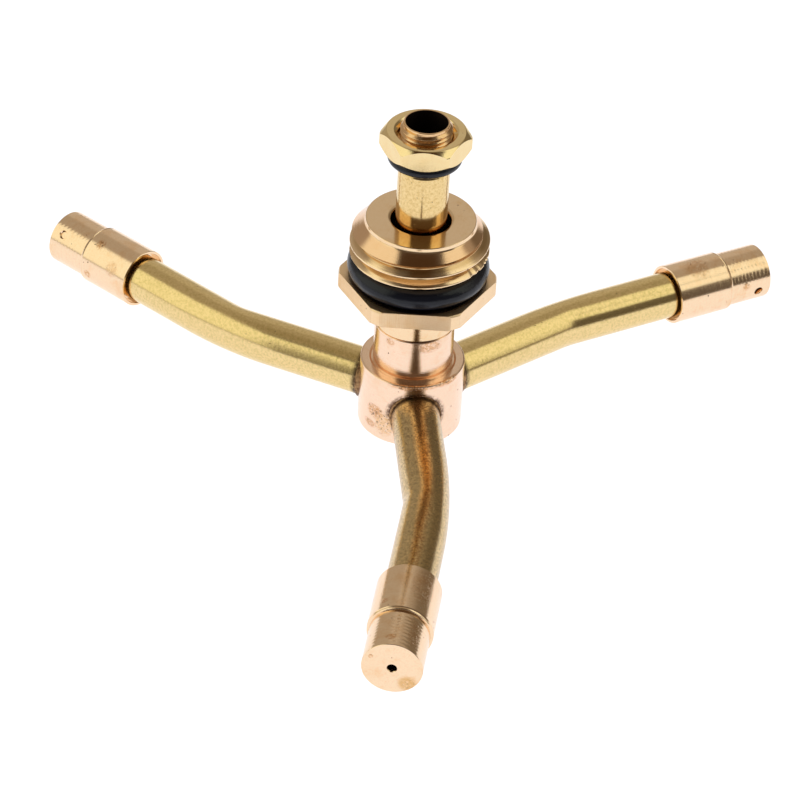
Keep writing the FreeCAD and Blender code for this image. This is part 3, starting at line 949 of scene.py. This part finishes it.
def makeCap(letter):
    size = capSizes
    body, shoulder = size["body"], size["shoulder"]
    outline = [
        (size["mouth"], 0), (body, 0), (body, shoulder - size["grooveFrom"]),
        (size["groove"], shoulder - size["grooveDeepFrom"]),
        (size["groove"], shoulder - size["grooveDeepTo"]),
        (body - size["lipIn"], shoulder - size["grooveTo"]), (body - size["lipTop"], shoulder),
        (size["tip"], shoulder), (size["tip"], size["length"]),
        (size["jetMouth"], size["length"]), (size["jet"], size["length"] - size["jetFlare"]),
        (size["jet"], size["wallEnd"]), (size["chamber"], size["wallEnd"]),
        (size["chamber"], shoulder), (size["bore"], shoulder),
        (size["bore"], size["mouthDepth"]), (size["mouth"], size["mouthDepth"]),
    ]
    edges = [size["mouthEdge"], size["edge"], 0, 0, 0, 0, size["shoulderEdge"], size["tipFoot"],
             size["edge"]] + [0] * 8
    cap = turnedShell("cap" + letter.upper(), rounded(outline, edges), steps=size["steps"])
    tidyMesh(cap)
    turn = math.radians(jetTurns[letter])
    aim = Vector((math.cos(turn), math.sin(turn), 0))
    jet = Vector((0, 0, size["sideJet"]))
    if letter == size["shallow"]:
        # this cap's side jet is silted up just under its mouth
        start = jet + aim * size["siltAt"]
        cap = drilled(cap, size["silt"], start, aim, size["siltLength"], size["siltFlare"])
    else:
        start = jet + aim * size["sideStart"]
        cap = drilled(cap, size["jet"], start, aim, size["sideLength"])
        start = jet + aim * size["sideMouth"]
        narrow = size["jet"] - size["sideMouthIn"]
        cap = drilled(cap, narrow, start, aim, size["sideMouthLength"], size["sideFlare"])
    tip, outwards, turn = armPlace(letter)
    mouth = tip - outwards * size["length"] * mm
    for vertex in cap.data.vertices:
        vertex.co = mouth + turn @ vertex.co
    return crisp(cap, 30)


# arm tubes: bent by hand, sharp on the inside and wide on the outside
tubeSizes = {
    "radius": 3.7, "bore": 3.0, "start": 4.3, "outerLeg": 36.6, "end": 8.64, "steps": 96,
    "bendRings": 64, "bendReach": 15.0, "insideReach": 0.9, "outsideReach": 11.0, "spread": 1.8,
    "rings": {"start": 4.0, "beforeCap": 2.0, "pastMouth": 1.5},
}


def armBend(letter):
    # the corner between the two legs, and where each leg points
    size = tubeSizes
    tip, outwards, _ = armPlace(letter)
    corner = tip - outwards * size["outerLeg"] * mm
    along = Vector((corner.x, corner.y, 0)).normalized()
    return corner, along, outwards


def makeArmTube(letter):
    size = tubeSizes
    corner, first, second = armBend(letter)
    reach = math.hypot(corner.x, corner.y) / mm
    length = reach + size["outerLeg"] - capSizes["length"] + size["end"]
    rings = size["rings"]
    heights = [size["start"], size["start"] + rings["start"]]
    step = 2 * size["bendReach"] / size["bendRings"]
    heights += [reach - size["bendReach"] + step * i for i in range(size["bendRings"] + 1)]
    mouth = length - size["end"]
    heights += [mouth - rings["beforeCap"], mouth + rings["pastMouth"], length]
    outline = [(size["radius"], z) for z in heights]
    outline += [(size["bore"], z) for z in reversed(heights)]
    tube = turnedShell("armTube" + letter.upper(), outline, steps=size["steps"])
    over = Vector((0, 0, 1))
    firstSide = over.cross(first)
    secondSide = over.cross(second)
    # positive on the outside of the bend
    hand = 1 if firstSide.dot(second) < 0 else -1
    firstSide *= hand
    secondSide *= hand
    half = (firstSide + secondSide) / (1 + firstSide.dot(secondSide))
    grain = tube.data.attributes.new("along", "FLOAT_VECTOR", "POINT")
    wider = size["outsideReach"] - size["insideReach"]
    for index, vertex in enumerate(tube.data.vertices):
        side, rise, along = vertex.co
        grain.data[index].vector = (side, rise, along)
        outside = max((side / mm / size["radius"] + 1) / 2, 0) ** size["spread"]
        wide = (size["insideReach"] + wider * outside) * mm
        nook = corner + half * side
        past = along - reach * mm
        lean = min(max(past / (size["bendReach"] * mm), -1), 1)
        gap = past + side * half.dot(first) * lean
        if gap <= -wide:
            place = nook + first * gap
        elif gap >= wide:
            place = nook + second * gap
        else:
            before = -((wide - gap) ** 2) / (4 * wide)
            after = (wide + gap) ** 2 / (4 * wide)
            place = nook + first * before + second * after
        vertex.co = place + over * rise
    tidyMesh(tube)
    return smoothed(tube, 40)


def dressPieces():
    pieces = {
        "bushing": (bushing, "bushing", "turned_brass", turnedBrass("bushingBrass", bushingFinish)),
        "spindle": (spindle, "rotor", "drawn_brass", drawnBrass("spindleBrass", spindleFinish)),
        "spindle_nut": (nut, "rotor", "polished_brass", polishedBrass("nutBrass")),
        "hub": (hub, "rotor", "turned_brass", turnedBrass("hubBrass", hubFinish)),
    }
    finishes = {"a": dirtyStripedFinish, "b": cleanFinish, "c": cleanFinish}
    for letter, tube in tubes.items():
        tubeBrass = drawnBrass("tubeBrass" + letter.upper(), finishes[letter], "along")
        pieces["arm_tube_" + letter] = (tube, "rotor", "drawn_brass", tubeBrass)
        tip, outwards, turn = armPlace(letter)
        mouth = tip - outwards * capSizes["length"] * mm
        finish = turnedBrass(
            "capBrass" + letter.upper(), {**capFinish, "marks": capMarks[letter]},
            mouth, turn.to_euler(),
        )
        pieces["nozzle_cap_" + letter] = (caps[letter], "cap_" + letter, "turned_brass", finish)
    for node, (piece, body, slot, material) in pieces.items():
        dress(piece, material)
        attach(piece, body)
        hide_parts(node)


camera = {
    "lens": 148.2, "distance": 0.4975, "elevation": 36.98, "roll": 3.38,
    "aside": 0.00472, "above": 0.02753, "aimHeight": 0.020, "near": 0.01,
}


def addCamera():
    rise = math.radians(camera["elevation"])
    roll = math.radians(camera["roll"])
    ahead = Vector((0, math.cos(rise), -math.sin(rise)))
    level = Vector((1, 0, 0))
    over = level.cross(ahead)
    right = level * math.cos(roll) + over * math.sin(roll)
    top = over * math.cos(roll) - level * math.sin(roll)
    sight = (right * camera["aside"] + top * camera["above"] + ahead).normalized()
    eye = Vector((0, 0, camera["aimHeight"])) - sight * camera["distance"]
    data = bpy.data.cameras.new("camera")
    data.lens = camera["lens"]
    data.clip_start = camera["near"]
    lookout = bpy.data.objects.new("camera", data)
    bpy.context.scene.collection.objects.link(lookout)
    turn = Matrix((right, top, -ahead)).transposed().to_4x4()
    lookout.matrix_world = Matrix.Translation(eye) @ turn
    bpy.context.scene.camera = lookout


# directions in degrees: aside counts round from the camera's side, rise up from level, and a
# third number is how soft the edge is
studio = {
    "back": rgb(0.44, 0.39, 0.32), "backMiddle": rgb(0.56, 0.51, 0.44),
    "backRight": rgb(0.20, 0.165, 0.12), "top": rgb(0.33, 0.28, 0.20),
    "front": rgb(0.13, 0.11, 0.09), "dark": rgb(0.075, 0.045, 0.022),
    "middleAway": (164, 172), "middleRise": (50, 38), "rightAside": (113, 164, 6),
    "rightRise": (42, 26), "topRise": (60, 70), "frontAway": (76, 68), "darkAway": (50, 38),
    "darkRise": (42, 49), "softbox": rgb(1.12, 1.12, 0.92),
    "leftBox": ((-110, -46, 5), (2, 57, 4)),
    "rightBoxes": [
        ((70, 93, 4), (8, 40, 3)), ((54, 111, 4), (33, 52, 3)), ((74, 124, 4), (50, 67, 3)),
    ],
    "floorGlow": rgb(0.86, 0.88, 0.96), "floorMatte": 0.5, "floorSize": 6.0,
    "floorFade": (0.32, 0.80), "floorFar": 0.45, "floorGap": 0.1,
}


def addLight():
    world = bpy.data.worlds.new("studio")
    bpy.context.scene.world = world
    world.use_nodes = True
    world.node_tree.nodes.clear()
    wire = Wire(world.node_tree)
    x, y, z = wire.node("ShaderNodeTexCoord", out=0).split()
    rise = wire.math("ARCSINE", z) * (180 / math.pi)
    aside = wire.math("ARCTAN2", x, 0 - y) * (180 / math.pi)
    away = wire.math("ABSOLUTE", aside)
    middle = away.step(*studio["middleAway"]) * rise.step(*studio["middleRise"])
    level = middle.tint(studio["back"], studio["backMiddle"])
    right = aside.band(*studio["rightAside"]) * rise.step(*studio["rightRise"])
    level = right.tint(level, studio["backRight"])
    level = rise.step(*studio["topRise"]).tint(level, studio["top"])
    level = away.step(*studio["frontAway"]).tint(level, studio["front"])
    behind = away.step(*studio["darkAway"]) * rise.step(*studio["darkRise"])
    level = behind.tint(level, studio["dark"])
    sides, rises = studio["leftBox"]
    boxes = aside.band(*sides) * rise.band(*rises)
    for sides, rises in studio["rightBoxes"]:
        boxes = wire.math("MAXIMUM", boxes, aside.band(*sides) * rise.band(*rises))
    level = boxes.tint(level, studio["softbox"])
    light = wire.node("ShaderNodeBackground", {}, {"Color": level})
    wire.node("ShaderNodeOutputWorld", {}, {"Surface": light})
    bpy.context.scene.view_settings.view_transform = "Standard"


def addFloor():
    startPiece("floor")
    # the floor is low enough for the rotor to slide all the way down
    drop = joints["rotor_float"]["range_m"][1] + studio["floorGap"] * mm
    bpy.ops.mesh.primitive_plane_add(size=studio["floorSize"], location=(0, 0, -drop))
    floor = settle(bpy.context.object, "floor")
    material, wire = newMaterial("paleFloor")
    tone = studio["floorMatte"]
    matte = wire.node("ShaderNodeBsdfDiffuse", {}, {"Color": rgb(tone, tone, tone)})
    near, far = studio["floorFade"]
    place = wire.node("ShaderNodeTexCoord", out=3)
    fade = around(place).step(far, near)
    glow = fade.tint(rgb(*[studio["floorFar"]] * 3), studio["floorGlow"])
    glow = wire.node("ShaderNodeEmission", {}, {"Color": glow})
    both = wire.node("ShaderNodeAddShader", {}, {0: matte, 1: glow})
    wire.node("ShaderNodeOutputMaterial", {}, {"Surface": both})
    dress(floor, material)


def dressNodes():
    dress(nodes["thrust_ring"], rubber("ringRubber"))
    dress(nodes["flange_seal"], rubber("sealRubber"))
    dark = braze("darkBraze")
    for letter in "abc":
        dress(nodes["cap_seal_" + letter], rubber("capSealRubber" + letter.upper()))
        dress(nodes["solder_ring_" + letter], dark)


bushing = makeBushing()
spindle = makeSpindle()
nut = makeNut()
hub = makeHub()
caps = {letter: makeCap(letter) for letter in "abc"}
tubes = {letter: makeArmTube(letter) for letter in "abc"}
addCamera()
addLight()
addFloor()
dressNodes()
dressPieces()
print("studio and finishes done")
